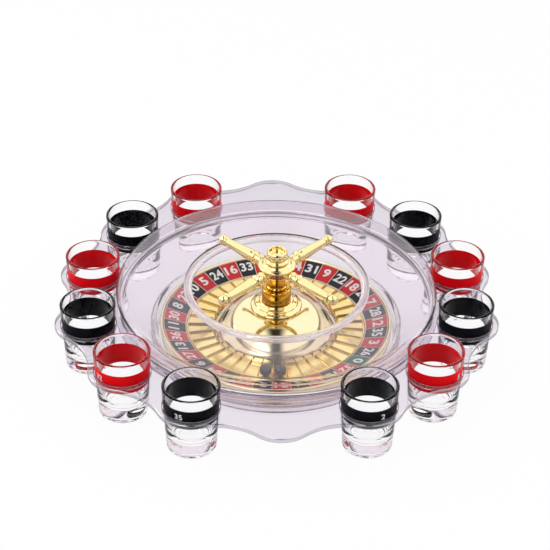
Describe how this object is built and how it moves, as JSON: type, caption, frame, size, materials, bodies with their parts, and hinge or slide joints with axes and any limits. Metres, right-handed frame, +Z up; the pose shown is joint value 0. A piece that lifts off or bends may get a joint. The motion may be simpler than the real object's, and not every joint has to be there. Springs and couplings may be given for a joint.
{
  "type": "roulette wheel",
  "caption": "Tabletop roulette game: a gold spinning wheel under a clear ring-shaped cover, in a clear scalloped tray that carries shot glasses.",
  "frame": {"origin": "on the table under the wheel's axis, which is the middle of the bounding box's bottom", "axes": "+Z up along the wheel's axis, -Y towards the player at the plain grip lobe, +X to that player's right"},
  "size_m": [0.292, 0.2984, 0.0694],
  "materials": {
    "tray_plastic": "clear moulded acrylic, polished",
    "bowl_plastic": "clear moulded acrylic, polished",
    "cover_plastic": "clear moulded acrylic, polished",
    "rotor_gold": "pale gold vacuum plating, mirror smooth",
    "turret_gold": "gold plating, mirror smooth",
    "number_print": "printed ring with red, black and green cells and white numbers",
    "steel": "bright zinc plated",
    "ball_steel": "polished",
    "bronze": "sintered, oil filled",
    "glass_red_band": "clear glass with a painted red band and a white number",
    "glass_black_band": "clear glass with a painted black band and a white number"
  },
  "bodies": {
    "base": {"tray": "tray_plastic", "bowl": "bowl_plastic", "cover": "cover_plastic", "spindle": "steel", "thrust_washer": "steel", "spindle_nut": "steel"},
    "wheel": {"rotor_base": "rotor_gold", "number_ring": "number_print", "fret_ring": "rotor_gold", "cone": "rotor_gold", "rotor_screw_1": "steel", "rotor_screw_2": "steel", "rotor_screw_3": "steel", "spindle_bush": "bronze", "turret_flange": "turret_gold", "turret_column": "turret_gold", "turret_neck": "turret_gold", "turret_hub": "turret_gold", "turret_stud": "steel", "finial": "turret_gold", "spinner_arm_1": "turret_gold", "spinner_arm_2": "turret_gold", "spinner_arm_3": "turret_gold", "spinner_arm_4": "turret_gold"},
    "glass_01": {"glass_01": "glass_black_band"},
    "glass_02": {"glass_02": "glass_red_band"},
    "glass_03": {"glass_03": "glass_black_band"},
    "glass_04": {"glass_04": "glass_red_band"},
    "glass_05": {"glass_05": "glass_black_band"},
    "glass_06": {"glass_06": "glass_red_band"},
    "glass_07": {"glass_07": "glass_red_band"},
    "glass_08": {"glass_08": "glass_black_band"},
    "glass_09": {"glass_09": "glass_red_band"},
    "glass_10": {"glass_10": "glass_black_band"},
    "glass_11": {"glass_11": "glass_red_band"},
    "glass_12": {"glass_12": "glass_black_band"},
    "ball_1": {"ball_1": "ball_steel"},
    "ball_2": {"ball_2": "ball_steel"}
  },
  "joints": [
    {"name": "wheel_spin", "type": "hinge", "parent": "base", "child": "wheel", "pos_m": [0, 0, 0.02], "axis": [0, 0, 1], "continuous": true},
    {"name": "glass_01_lift", "type": "slide", "parent": "base", "child": "glass_01", "axis": [0, 0, 1], "range_m": [0, 0.06]},
    {"name": "glass_02_lift", "type": "slide", "parent": "base", "child": "glass_02", "axis": [0, 0, 1], "range_m": [0, 0.06]},
    {"name": "glass_03_lift", "type": "slide", "parent": "base", "child": "glass_03", "axis": [0, 0, 1], "range_m": [0, 0.06]},
    {"name": "glass_04_lift", "type": "slide", "parent": "base", "child": "glass_04", "axis": [0, 0, 1], "range_m": [0, 0.06]},
    {"name": "glass_05_lift", "type": "slide", "parent": "base", "child": "glass_05", "axis": [0, 0, 1], "range_m": [0, 0.06]},
    {"name": "glass_06_lift", "type": "slide", "parent": "base", "child": "glass_06", "axis": [0, 0, 1], "range_m": [0, 0.06]},
    {"name": "glass_07_lift", "type": "slide", "parent": "base", "child": "glass_07", "axis": [0, 0, 1], "range_m": [0, 0.06]},
    {"name": "glass_08_lift", "type": "slide", "parent": "base", "child": "glass_08", "axis": [0, 0, 1], "range_m": [0, 0.06]},
    {"name": "glass_09_lift", "type": "slide", "parent": "base", "child": "glass_09", "axis": [0, 0, 1], "range_m": [0, 0.06]},
    {"name": "glass_10_lift", "type": "slide", "parent": "base", "child": "glass_10", "axis": [0, 0, 1], "range_m": [0, 0.06]},
    {"name": "glass_11_lift", "type": "slide", "parent": "base", "child": "glass_11", "axis": [0, 0, 1], "range_m": [0, 0.06]},
    {"name": "glass_12_lift", "type": "slide", "parent": "base", "child": "glass_12", "axis": [0, 0, 1], "range_m": [0, 0.06]},
    {"name": "ball_1_lift", "type": "slide", "parent": "wheel", "child": "ball_1", "axis": [0.0236, 0.422, 0.9063], "range_m": [0, 0.045]},
    {"name": "ball_2_lift", "type": "slide", "parent": "wheel", "child": "ball_2", "axis": [0.0236, 0.422, 0.9063], "range_m": [0, 0.045]}
  ]
}
